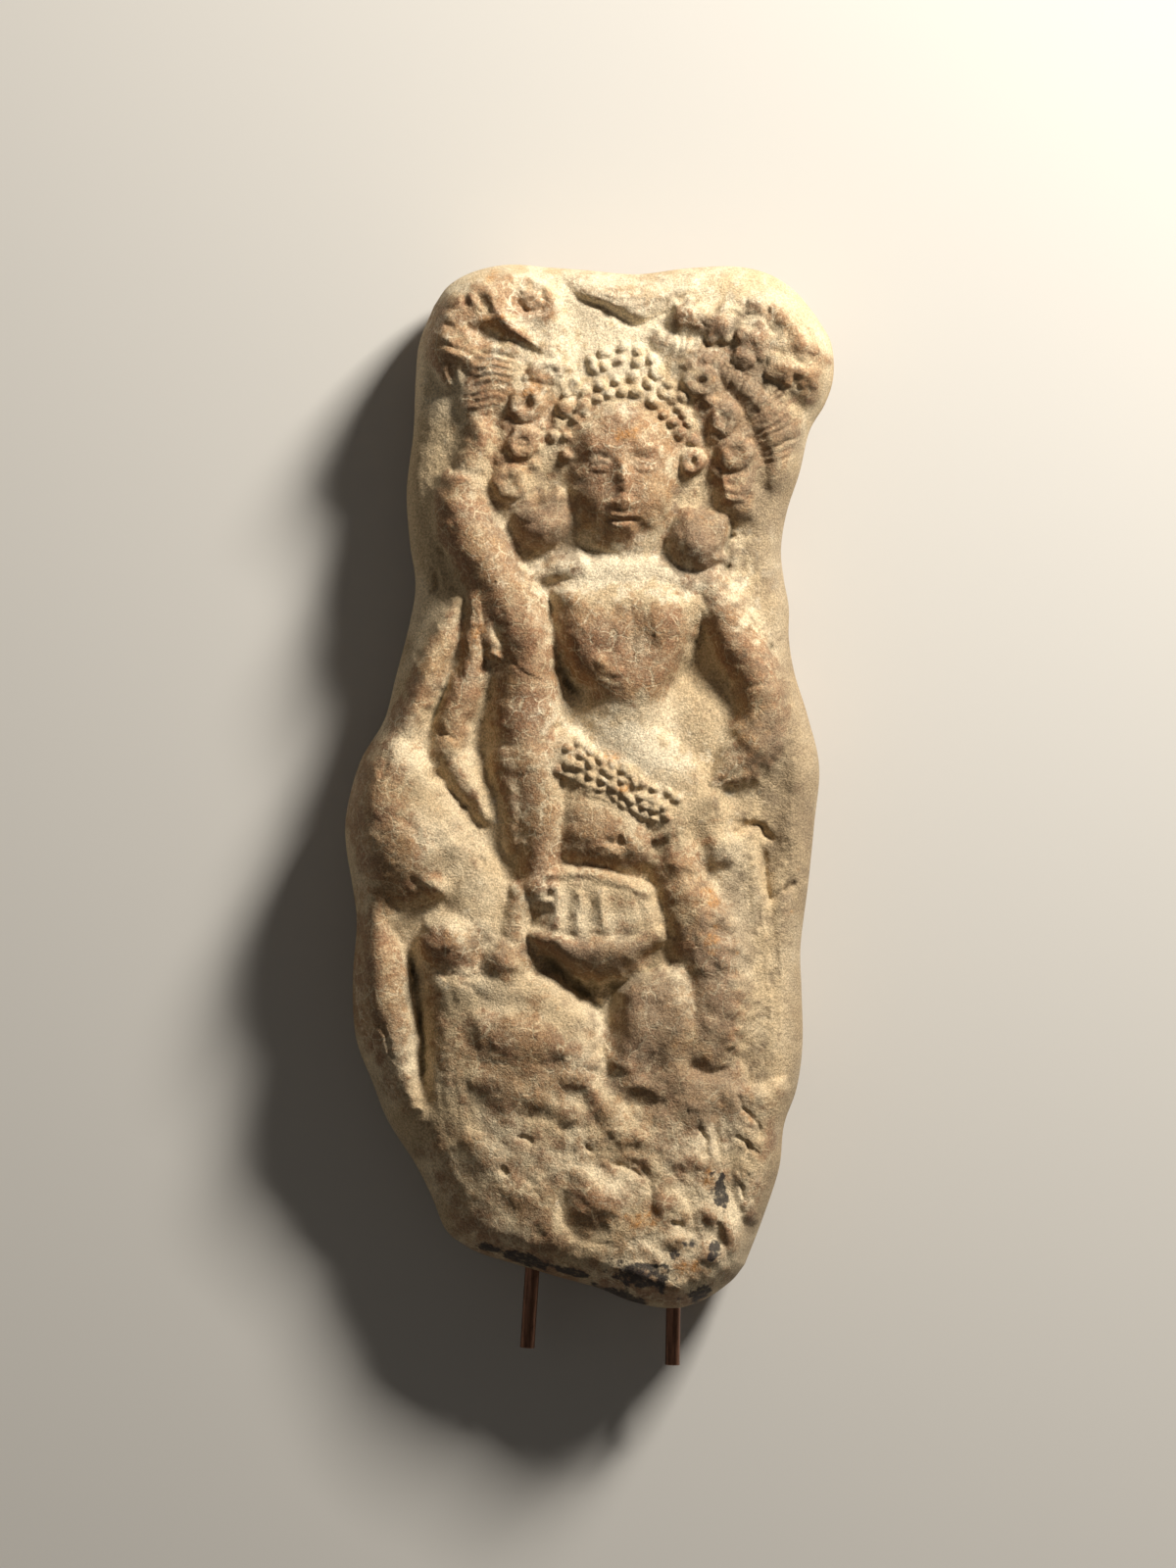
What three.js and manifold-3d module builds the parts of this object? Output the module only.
// Terracotta relief plaque lying on its flat back, with two metal pegs fixed in its lower end.
// Millimetres. +Y points to the top of the plaque, +Z out of its carved front.
// The origin is on the plane of the flat back, under the middle of the plaque and pegs.

import * as THREE from "three";
import { mergeVertices } from "three/addons/utils/BufferGeometryUtils.js";
import Module from "manifold-3d";

// Body of the plaque: how high its ground and its widest line lie above the back.
const GROUND_HEIGHT = 22.4;
const RIM_HEIGHT = 10.4;
const EDGE_ROUND = 6.8;
const EDGE_POWER = 2.2;
const BACK_INSET = 7.5;
const BACK_STEPS = 3;
// Lowest and highest place of the line down the middle that the back's edge is drawn in towards.
const SPINE = [-72, 84];

// The front falls away towards the lower left: in which direction, from where, over what length, how far.
const FALL_DIRECTION = [-0.8, -0.6];
const FALL_START = 38;
const FALL_REACH = 38;
const FALL_DEPTH = 6;

// Grid that carries the carved front: cells across and down, and the narrow cells at the edge.
const COLUMNS = 41;
const ROWS = 86;
const EDGE_CELLS = [0, 1.0, 2.6, 4.8];
// Each height is the mean of the carving this far to every side, so that steep forms stay even.
const SOFTENING = 0.7;
// Short pieces that stand for each stretch of a limb's or a slab's curve.
const STRETCH_STEPS = 6;

// Pegs and the blind holes that they sit in.
const PEG_RADIUS = 1.5;
const PEG_GAP = 0.3;
const PEG_DEPTH = 25;
const PEG_HEIGHT = 12.4;
const PEG_SIDES = 24;
const LEFT_PEG = { mouth: [-11.6, -93.4], end: [-12.6, -108.8] };
const RIGHT_PEG = { mouth: [17.2, -101.4], end: [17.0, -112.3] };

// Outline of the plaque, from corner to corner.
const TOP_EDGE = [
  [-31.6, 103.8], [-23.4, 110.8], [-14.2, 112.2], [9.8, 110.2],
  [29.8, 111.8], [40.8, 107.8], [46.2, 101.8],
];
const RIGHT_EDGE = [
  [46.2, 101.8], [50.0, 91.8], [44.8, 76.6], [39.4, 55.2], [40.8, 36.2], [46.9, 9.2],
  [44.8, -13.8], [43.2, -31.8], [43.2, -50.8], [38.8, -69.8], [31.8, -91.8],
];
const BOTTOM_EDGE = [
  [-28.2, -86.0], [-21.8, -89.6], [-12.2, -92.4], [1.8, -96.6],
  [16.8, -100.9], [26.8, -96.8], [31.8, -91.8],
];
const LEFT_EDGE = [
  [-31.6, 103.8], [-35.0, 93.2], [-35.8, 78.2], [-37.4, 65.2], [-35.4, 47.8], [-39.4, 28.2], [-47.0, 10.2],
  [-49.8, -3.8], [-47.6, -22.8], [-48.0, -41.8], [-42.6, -58.8], [-33.0, -75.8], [-28.2, -86.0],
];

const CLAY = new THREE.MeshStandardMaterial({ color: 0xb08660, roughness: 0.9, metalness: 0 });
const PEG_METAL = new THREE.MeshStandardMaterial({ color: 0x6b4536, roughness: 0.45, metalness: 0.9 });

/** A smooth curve through flat points, open or closed. */
function curveThrough(points, closed = false) {
  const knots = points.map(([x, y]) => new THREE.Vector3(x, y, 0));
  return new THREE.CatmullRomCurve3(knots, closed, "catmullrom", 0.5);
}

/** Distance from a point to the piece between two points, with how far along it the nearest place is. */
function distanceToPiece(x, y, a, b) {
  const lengthSquared = (b.x - a.x) ** 2 + (b.y - a.y) ** 2;
  const along = ((x - a.x) * (b.x - a.x) + (y - a.y) * (b.y - a.y)) / lengthSquared;
  const t = THREE.MathUtils.clamp(along, 0, 1);
  return { distance: Math.hypot(x - a.x - t * (b.x - a.x), y - a.y - t * (b.y - a.y)), t };
}

/** Rounded section of a form: 1 over its middle, 0 at its border, negative outside. */
function swell(inner) {
  return Math.sign(inner) * Math.sqrt(Math.abs(inner));
}

/** Carving raised above the ground, kept as forms that melt into each other. */
class Relief {
  constructor() {
    this.forms = [];
  }

  /** An oval swelling. */
  dome([cx, cy], [rx, ry], rise, turn = 0, blend = 1.2) {
    const cos = Math.cos(THREE.MathUtils.degToRad(turn));
    const sin = Math.sin(THREE.MathUtils.degToRad(turn));
    const height = (x, y) => {
      const u = ((x - cx) * cos + (y - cy) * sin) / rx;
      const v = ((y - cy) * cos - (x - cx) * sin) / ry;
      return rise * swell(1 - u * u - v * v);
    };
    this.forms.push({ height, blend });
  }

  /** A rounded limb along a curve, with its half-width and rise changing along it. */
  limb(points, radii, rises, blend = 1.4) {
    const path = curveThrough(points).getPoints(STRETCH_STEPS * (points.length - 1));
    const valueAt = (values, u) => {
      const place = u * (values.length - 1);
      const k = Math.min(Math.floor(place), values.length - 2);
      return THREE.MathUtils.lerp(values[k], values[k + 1], place - k);
    };
    const height = (x, y) => {
      let nearest = { distance: Infinity, u: 0 };
      for (let i = 0; i + 1 < path.length; i++) {
        const { distance, t } = distanceToPiece(x, y, path[i], path[i + 1]);
        if (distance < nearest.distance) {
          nearest = { distance, u: (i + t) / (path.length - 1) };
        }
      }
      const radius = valueAt(radii, nearest.u);
      return valueAt(rises, nearest.u) * swell(1 - (nearest.distance / radius) ** 2);
    };
    this.forms.push({ height, blend });
  }

  /** A raised area inside a closed outline, rounded over a border. */
  slab(points, rise, border, blend = 1.4) {
    const outline = curveThrough(points, true).getPoints(STRETCH_STEPS * points.length);
    const height = (x, y) => {
      const depth = depthInside(outline, x, y) / border;
      return depth > 0 ? rise * Math.sqrt(1 - (1 - Math.min(depth, 1)) ** 2) : -rise * Math.sqrt(-depth);
    };
    this.forms.push({ height, blend });
  }

  /** Height of the carving above the ground at a point. */
  height(x, y) {
    let total = 0;
    for (const { height, blend } of this.forms) {
      const h = height(x, y);
      total = Math.max(total, h) + Math.max(blend - Math.abs(total - h), 0) ** 2 / (4 * blend);
    }
    return total;
  }

  /** Mean height around a point. */
  softHeight(x, y) {
    const offsets = [-SOFTENING, 0, SOFTENING];
    const samples = offsets.flatMap((dx) => offsets.map((dy) => this.height(x + dx, y + dy)));
    return samples.reduce((sum, h) => sum + h, 0) / samples.length;
  }
}

/** How far inside a closed outline a point lies, negative outside. */
function depthInside(outline, x, y) {
  let nearest = Infinity;
  let inside = false;
  for (let i = 0; i < outline.length; i++) {
    const a = outline[i];
    const b = outline[(i + 1) % outline.length];
    if (a.distanceToSquared(b) === 0) continue;
    nearest = Math.min(nearest, distanceToPiece(x, y, a, b).distance);
    if (a.y > y !== b.y > y && x < a.x + ((y - a.y) * (b.x - a.x)) / (b.y - a.y)) inside = !inside;
  }
  return inside ? nearest : -nearest;
}

/** Raised rims along the sides of the ground and the flap of clay across its top. */
function carveGround(relief) {
  relief.limb(
    [[37.8, 57], [40.4, 30], [43.8, 6], [41.4, -20], [40.2, -52]],
    [2, 3.4, 4.4, 4, 3.4], [0.8, 1.8, 2.2, 1.8, 1.2],
  );
  relief.limb([[-26.2, 107], [-34, 96], [-36, 66], [-37, 36]], [3.2, 2.6, 2, 1.6], [2.2, 2, 1.2, 0.8]);
  relief.slab(
    [[-6, 113.8], [2.2, 103], [9, 99.6], [15.4, 102.4], [28.6, 105.2], [35, 102], [38, 113.8]],
    2.4, 1.4, 0.5,
  );
}

/** The two hair buns at the top corners, with their hanging strings of rosettes. */
function carveHeaddress(relief) {
  // Right bun: its mass, the roll across it and four large rosettes.
  relief.dome([35, 93.8], [16.8, 14], 5.4, -40, 2);
  relief.limb(
    [[18, 99], [28, 97.2], [37.8, 91.4], [45.4, 88.6]],
    [2.8, 4.8, 4.8, 3.2], [5.4, 8, 8.6, 6.4], 2,
  );
  for (const [x, y] of [[28, 97.8], [34.6, 93], [39.4, 89.2], [42, 96.4]]) {
    relief.dome([x, y], [3.6, 3.6], 9, 0, 0.8);
  }
  // Braid under the bun.
  relief.limb(
    [[17.8, 93], [27.4, 90.2], [34.2, 83.2], [37, 73.8]],
    [3.2, 4.8, 5.6, 4.4], [5, 6.6, 6.6, 4.4],
  );
  // Right string of flowers.
  relief.limb(
    [[20.8, 89.2], [26.8, 80.2], [29.4, 72.2], [30.4, 63]],
    [3.4, 3.6, 3.6, 3.2], [6.4, 6.8, 6.6, 5.2],
  );

  // Left bun: its mass, the crest of the bud and two fingers.
  relief.dome([-20.8, 96.2], [13.2, 12], 5, 0, 2);
  relief.limb([[-18.6, 106.2], [-14.2, 103.8], [-9, 101.8]], [2.6, 3.6, 2.8], [6, 7.6, 7]);
  relief.limb([[-33.4, 97.6], [-26.4, 98.6], [-18, 99.6]], [2, 2.4, 2], [6.2, 7.4, 7.4]);
  relief.limb([[-30.2, 93.4], [-25.4, 91.8], [-20.2, 89.8]], [2, 2, 1.8], [6.4, 7.2, 6.6]);
  // Combed hair under the bun, and the left string of flowers.
  relief.limb(
    [[-13, 94.2], [-17.8, 89.2], [-21.2, 82.6], [-22.2, 78.2]],
    [4, 5.6, 6, 4.8], [5.5, 7.6, 6.8, 4],
  );
  for (const [x, y] of [[-8.2, 89.4], [-12.4, 83], [-13.4, 75.8], [-16.4, 67.8]]) {
    relief.dome([x, y], [3.6, 3.6], 6.6, 0, 0.9);
  }
}

/** The standing figure: head, earrings, body, the arm on the hip, the girdle and the hand below it. */
function carveMainFigure(relief) {
  // Head: hair, face and nose.
  relief.dome([7, 76], [14.4, 15.6], 6.4, 0, 1.6);
  relief.dome([6.8, 69.8], [11.2, 14.8], 10.4, 0, 1);
  relief.limb([[6.8, 74], [6.8, 69], [6.8, 65.4]], [1.2, 1.6, 2.2], [10.8, 11.6, 12.8], 1.6);
  // Earrings.
  relief.dome([-9.8, 59.6], [6.2, 5], 8.4, 25, 1);
  relief.dome([22, 55.8], [6, 6.6], 9.2, -10, 1);
  // Neck and chest.
  relief.limb([[7.4, 57.2], [7.4, 48.2]], [6.8, 7.6], [5.5, 6], 2);
  relief.slab(
    [
      [-8.6, 48.2], [2.2, 53], [13.4, 53], [28.2, 47.4], [23, 38.2],
      [16.2, 27.4], [14, 20.6], [2.6, 23], [-3.4, 33.8], [-6.2, 44.2],
    ],
    7.4, 6, 2.4,
  );
  relief.dome([1.4, 39], [6.8, 7.6], 8.8, 0, 3);
  relief.dome([15, 39.4], [7.6, 7.6], 9, 0, 3);
  relief.dome([8.6, 28.2], [6.8, 7.2], 7.8, 0, 3);
  // Arm on the hip, from shoulder to elbow and from elbow to hand.
  relief.limb(
    [[27.4, 45], [29.8, 38.2], [33, 30.2], [36.2, 23]],
    [4.4, 4.8, 5, 5.2], [7.2, 7.4, 7.6, 7.6],
  );
  relief.limb(
    [[35.8, 23], [35.8, 17.2], [31.8, 11.2], [26.8, 7.8]],
    [4.8, 5, 4.4, 2.8], [7.6, 7.8, 7.4, 5.6],
  );
  // Waist and hip.
  relief.dome([7.8, 17.2], [12, 12], 5.4, 0, 3);
  relief.dome([14.2, 13.8], [10.4, 12], 6.4, 0, 3);
  relief.limb([[7.8, 12.2], [19.8, 6.2], [24.8, 0.2]], [8, 7.2, 6], [5.6, 6, 5.4], 2);

  // Girdle, its cord and the belly below.
  relief.limb([[-5.8, 12.6], [3.8, 8.2], [14.2, 1.8]], [4, 4.8, 4.8], [7.4, 7.8, 7.8]);
  relief.limb(
    [[-9.8, 10.4], [-2.2, 6.4], [4.8, 2.2], [14.6, -5.8]],
    [1.4, 1.4, 1.4, 1.2], [8.6, 9.6, 9.8, 8.8], 0.8,
  );
  relief.slab(
    [[-4.6, 5.4], [4.2, 1], [14.2, -6.6], [11.8, -10.2], [4.8, -12.4], [-1.8, -10.2]],
    8.8, 5.2,
  );
  // Low hand: its block, the broad fingers and the hem.
  relief.slab(
    [[-9, -11.8], [1, -11.4], [12.2, -15], [17.8, -26.2], [12.6, -30.2], [-9, -27.6], [-11.2, -20]],
    7.4, 3.6, 1.2,
  );
  const fingerStep = 5;
  for (let finger = 0; finger < 4; finger++) {
    const x = -9 + fingerStep * finger;
    relief.limb([[x, -14.4], [x, -21], [x, -27.6]], [2, 1.8, 2.2], [8.6, 8.4, 9.2], 0.8);
  }
  relief.limb(
    [[-10.6, -26.8], [-3.2, -27.8], [4.8, -28.6], [12.2, -29.8]],
    [2, 2.6, 2.6, 1.8], [8.6, 9.8, 9.8, 8.6],
  );
}

/** The companion at the left: both raised arms, head, bust, the long arm at the edge and the gown. */
function carveCompanion(relief) {
  // The companion's two raised arms.
  relief.limb([[-26.6, 41.8], [-32.2, 28.2], [-39.4, 15.8]], [1.8, 2.8, 3.2], [4, 5, 5.6]);
  relief.limb(
    [[-22.6, 43.8], [-23, 38.2], [-23.8, 28.2], [-28.2, 13.4]],
    [2, 2.6, 3, 3], [6.6, 6.4, 5.6, 5.4],
  );
  relief.limb([[-28.6, 13.8], [-25.4, 7.2], [-20.2, -1.4]], [3, 2.6, 1.6], [5.6, 5.8, 3.6]);
  // The standing figure's raised arm, down to the hip and the low hand.
  relief.limb([[-24.2, 79], [-23.4, 75], [-24.6, 68]], [2.4, 3.2, 3.6], [4.4, 6.8, 7.4]);
  relief.limb(
    [[-26.2, 64], [-23.8, 57.2], [-20.2, 49.8], [-15.4, 42.2], [-12.2, 36.2]],
    [5, 5.2, 5.6, 6, 6], [7.6, 7.8, 8.2, 9, 9.4],
  );
  relief.limb(
    [[-12.2, 36.6], [-12.6, 28.2], [-13.6, 20.2], [-13.4, 11.2]],
    [5.4, 6, 6.2, 5.4], [9.2, 9.2, 8.8, 8],
  );
  relief.limb([[-10.6, 7.8], [-9.4, -1.8], [-9.4, -10.6]], [4.8, 4.2, 4.2], [8.6, 8.6, 7.8]);
  relief.limb([[-10.6, -14.8], [-14, -18], [-14.6, -28.2]], [4.4, 4, 3.4], [8, 7, 6]);

  // The companion's head and roll of hair.
  relief.dome([-38.6, -2.2], [11.2, 15.6], 7.6, 18, 2);
  relief.dome([-35.2, -7.8], [8.4, 9.6], 8.6, 10, 2.5);
  relief.limb([[-41, 13.8], [-36.2, 6.2], [-27.8, -6.2]], [2.4, 2.8, 2.2], [5.6, 7.4, 8], 2);
  // Shoulder, bust and lap.
  relief.limb([[-26.6, -7.4], [-23, -13.8], [-21.8, -22.8]], [4.4, 6, 5.2], [3.6, 5.4, 6], 2.5);
  relief.dome([-28, -25.8], [6.2, 6], 7.8, 0, 1.6);
  relief.dome([-17.6, -30.6], [4.8, 5.2], 7.6, 0, 1.6);
  relief.dome([-23.4, -33.4], [9.6, 6], 6, 0, 1.6);
  // Long arm at the edge, and the gown beside it.
  relief.limb(
    [[-43, -19.8], [-43, -31.8], [-40.8, -41.8], [-38.6, -47]],
    [3.2, 5.6, 5.6, 3.6], [3.4, 6, 6.4, 5],
  );
  relief.limb([[-39.4, -45.8], [-37.4, -53.8], [-35, -61.8]], [3.4, 3.8, 2.8], [4.6, 4.8, 3.6]);
  relief.limb(
    [[-26.2, -33.8], [-27, -49.8], [-25.4, -67.8], [-20.2, -78.8]],
    [7.2, 6.8, 8, 8.8], [4.4, 4.2, 4.4, 4.4], 2.4,
  );
}

/** The seated and standing legs with the drape beside them. */
function carveLegs(relief) {
  // Left thigh and the cloth above it.
  relief.limb(
    [[-21.8, -44.2], [-14.2, -43], [-6.2, -45], [-1.8, -48.2]],
    [5.2, 7.6, 6.4, 4.4], [7, 9.6, 9.6, 8], 2,
  );
  relief.limb(
    [[-20.2, -33.8], [-10.2, -35.8], [-2.2, -42.8], [1, -49.8]],
    [3.6, 4.8, 4, 2.4], [5, 7.4, 8, 6], 2.4,
  );
  // Right thigh.
  relief.limb([[13.4, -35.8], [12.6, -43.8], [9, -51.4]], [6, 7.2, 5.6], [9, 10.2, 8], 2);
  relief.limb([[17.4, -33.8], [18.6, -43.8], [17.8, -51.8]], [4.4, 4.8, 3.6], [9, 10, 8.4], 2);
  // Knot, garland and standing leg, with the drape at their right.
  relief.limb([[17.8, -2.2], [18.2, -8.2], [19.8, -14.8]], [3, 4, 3.6], [7, 7.4, 6.6]);
  relief.limb(
    [[19.8, -16.8], [24.2, -21.8], [28.2, -28.8], [29.8, -35.8], [28.6, -43.8], [26.2, -49.8]],
    [4.4, 5.2, 4.8, 5, 4.4, 2.8], [7.4, 8, 7.6, 8, 7.4, 5.4],
  );
  relief.limb(
    [[29, -5.4], [31.4, -13.8], [34.8, -23.8], [37, -45.8]],
    [3.6, 4.8, 4.8, 4], [4, 4, 3.4, 2.6], 2,
  );
}

/** The worn mass of folds and lumps that fills the lower end. */
function carveLowerEnd(relief) {
  relief.slab(
    [
      [-20.2, -51.8], [7.8, -53.4], [31.8, -53.8], [28.2, -81.8],
      [29.8, -93.8], [17.8, -98.2], [-20.2, -87.4], [-24.2, -70],
    ],
    5.6, 6.8, 3,
  );
  // Lumps on the mass.
  relief.dome([-9, -56], [14, 5], 8.6, -4, 1.6);
  relief.dome([16.6, -54.6], [8, 6], 8.8, -20, 1.6);
  relief.dome([-8.2, -63.8], [12.4, 4.4], 7.6, -4, 1.6);
  relief.dome([10, -63], [12, 5], 8.2, -6, 1.6);
  relief.dome([3, -76.6], [8, 9.6], 10, 32, 1.6);
  relief.dome([18.6, -76], [6.4, 5], 9.6, -10, 1.6);
  relief.dome([19.6, -86], [8.4, 3.8], 9.2, 0, 1.6);
  relief.dome([11.8, -94.2], [12.4, 3.6], 8, -2, 1.6);
  // Two slanting folds, and the block at the right.
  relief.limb([[-20.2, -71], [-14.2, -75], [1, -83]], [2, 3, 2.6], [6.4, 7.8, 7.4], 1.2);
  relief.limb([[-18, -83], [-8.2, -85], [1.8, -87.4]], [2.4, 2.8, 2.4], [6.2, 7.2, 7], 1.2);
  relief.slab([[27, -57.4], [41, -54], [37.8, -73.8], [35, -81.8], [28.8, -82.6]], 5.8, 2.4, 1);
}

/** Places along a side of a given length: narrow cells at both ends and even ones between. */
function gridSteps(count, length) {
  const last = EDGE_CELLS.length - 1;
  const border = EDGE_CELLS.map((d) => d / length);
  return Array.from({ length: count + 1 }, (_, k) => {
    const fromEnd = Math.min(k, count - k);
    if (fromEnd <= last) return k === fromEnd ? border[fromEnd] : 1 - border[fromEnd];
    return THREE.MathUtils.mapLinear(k, last, count - last, border[last], 1 - border[last]);
  });
}

/** Point of the flat patch stretched between the four edges. */
function patchPoint(edges, u, v) {
  const { top, bottom, left, right } = edges;
  const across = top.getPointAt(u).lerp(bottom.getPointAt(u), v);
  const down = left.getPointAt(v).lerp(right.getPointAt(v), u);
  const upper = top.getPointAt(0).lerp(top.getPointAt(1), u);
  const lower = bottom.getPointAt(0).lerp(bottom.getPointAt(1), u);
  return across.add(down).sub(upper.lerp(lower, v));
}

/** Height of the front over the rounded edge, 0 at the outline and 1 on the ground. */
function edgeProfile(depth) {
  const inner = 1 - THREE.MathUtils.clamp(depth / EDGE_ROUND, 0, 1);
  return (1 - inner ** EDGE_POWER) ** (1 / EDGE_POWER);
}

/** How much lower the front lies at a point than in the middle of the plaque. */
function fall(x, y) {
  const out = x * FALL_DIRECTION[0] + y * FALL_DIRECTION[1];
  return FALL_DEPTH * THREE.MathUtils.clamp((out - FALL_START) / FALL_REACH, 0, 1) ** 2;
}

/** Grid indices around the border of the front, counter-clockwise as seen from the front. */
function borderLoop() {
  const index = (row, column) => row * (COLUMNS + 1) + column;
  const loop = [];
  for (let row = 0; row < ROWS; row++) loop.push(index(row, 0));
  for (let column = 0; column < COLUMNS; column++) loop.push(index(ROWS, column));
  for (let row = ROWS; row > 0; row--) loop.push(index(row, COLUMNS));
  for (let column = COLUMNS; column > 0; column--) loop.push(index(0, column));
  return loop;
}

/** The closed body of the plaque: carved front, tapering sides and flat back. */
function plaqueGeometry() {
  const edges = {
    top: curveThrough(TOP_EDGE),
    bottom: curveThrough(BOTTOM_EDGE),
    left: curveThrough(LEFT_EDGE),
    right: curveThrough(RIGHT_EDGE),
  };
  const across = gridSteps(COLUMNS, (edges.top.getLength() + edges.bottom.getLength()) / 2);
  const down = gridSteps(ROWS, edges.left.getLength());
  const grid = down.flatMap((v) => across.map((u) => patchPoint(edges, u, v)));
  const loop = borderLoop();
  const outline = loop.map((k) => grid[k].clone());

  const relief = new Relief();
  carveGround(relief);
  carveHeaddress(relief);
  carveMainFigure(relief);
  carveCompanion(relief);
  carveLegs(relief);
  carveLowerEnd(relief);
  const border = new Set(loop);
  grid.forEach((point, k) => {
    const rise = border.has(k) ? 0 : edgeProfile(depthInside(outline, point.x, point.y));
    const front = GROUND_HEIGHT + relief.softHeight(point.x, point.y) - fall(point.x, point.y);
    point.z = RIM_HEIGHT + (front - RIM_HEIGHT) * rise;
  });

  const triangles = [];
  for (let row = 0; row < ROWS; row++) {
    for (let column = 0; column < COLUMNS; column++) {
      const a = row * (COLUMNS + 1) + column;
      const c = a + COLUMNS + 1;
      const slopeDown = Math.abs(grid[a].z - grid[c + 1].z);
      const slopeUp = Math.abs(grid[a + 1].z - grid[c].z);
      if (slopeDown < slopeUp) triangles.push(a, c, c + 1, a, c + 1, a + 1);
      else triangles.push(a, c, a + 1, a + 1, c, c + 1);
    }
  }

  let ring = loop;
  for (let step = 1; step <= BACK_STEPS; step++) {
    const angle = (step / BACK_STEPS) * (Math.PI / 2);
    const inset = BACK_INSET * (1 - Math.cos(angle));
    const z = RIM_HEIGHT * (1 - Math.sin(angle));
    const first = grid.length;
    for (const point of outline) {
      const spineY = THREE.MathUtils.clamp(point.y, ...SPINE);
      const inward = new THREE.Vector3(-point.x, spineY - point.y, 0).setLength(inset);
      grid.push(new THREE.Vector3(point.x, point.y, z).add(inward));
    }
    const next = outline.map((_, k) => first + k);
    ring.forEach((k, i) => {
      const j = (i + 1) % ring.length;
      triangles.push(k, next[i], next[j], k, next[j], ring[j]);
    });
    ring = next;
  }
  const backOutline = ring.map((k) => new THREE.Vector2(grid[k].x, grid[k].y));
  for (const [a, b, c] of THREE.ShapeUtils.triangulateShape(backOutline, [])) {
    triangles.push(ring[a], ring[c], ring[b]);
  }

  const geometry = new THREE.BufferGeometry().setFromPoints(grid);
  geometry.setIndex(triangles);
  return geometry;
}

/** A round bar along a peg's line, from inside the plaque to outside it. */
function barGeometry({ mouth, end }, radius, inner, outer) {
  const from = new THREE.Vector3(...mouth, PEG_HEIGHT);
  const direction = new THREE.Vector3(...end, PEG_HEIGHT).sub(from).normalize();
  const cylinder = new THREE.CylinderGeometry(radius, radius, inner + outer, PEG_SIDES);
  cylinder.deleteAttribute("normal");
  cylinder.deleteAttribute("uv");
  const geometry = mergeVertices(cylinder);
  const downwards = new THREE.Vector3(0, -1, 0);
  geometry.applyQuaternion(new THREE.Quaternion().setFromUnitVectors(downwards, direction));
  const middle = from.addScaledVector(direction, (outer - inner) / 2);
  return geometry.translate(middle.x, middle.y, middle.z);
}

/** Length of the part of a peg that shows. */
function exposedLength({ mouth, end }) {
  return Math.hypot(end[0] - mouth[0], end[1] - mouth[1]);
}

const wasm = await Module();
wasm.setup();

/** A closed geometry as a solid that can be cut. */
function toSolid(geometry) {
  return new wasm.Manifold(
    new wasm.Mesh({
      numProp: 3,
      vertProperties: new Float32Array(geometry.attributes.position.array),
      triVerts: new Uint32Array(geometry.index.array),
    }),
  );
}

/** A solid back as a geometry. */
function toGeometry(solid) {
  const { vertProperties, triVerts } = solid.getMesh();
  const geometry = new THREE.BufferGeometry();
  geometry.setAttribute("position", new THREE.BufferAttribute(new Float32Array(vertProperties), 3));
  geometry.setIndex(Array.from(triVerts));
  geometry.computeVertexNormals();
  return geometry;
}

/** The plaque with its two blind holes. */
function makePlaque() {
  let solid = toSolid(plaqueGeometry());
  for (const peg of [LEFT_PEG, RIGHT_PEG]) {
    const drill = barGeometry(peg, PEG_RADIUS + PEG_GAP, PEG_DEPTH + PEG_GAP, exposedLength(peg));
    solid = solid.subtract(toSolid(drill));
  }
  const mesh = new THREE.Mesh(toGeometry(solid), CLAY);
  mesh.name = "plaque";
  return mesh;
}

/** One straight metal peg. */
function makePeg(name, peg) {
  const mesh = new THREE.Mesh(barGeometry(peg, PEG_RADIUS, PEG_DEPTH, exposedLength(peg)), PEG_METAL);
  mesh.name = name;
  return mesh;
}

const part = new THREE.Group();
part.add(makePlaque(), makePeg("left_peg", LEFT_PEG), makePeg("right_peg", RIGHT_PEG));

export default part;
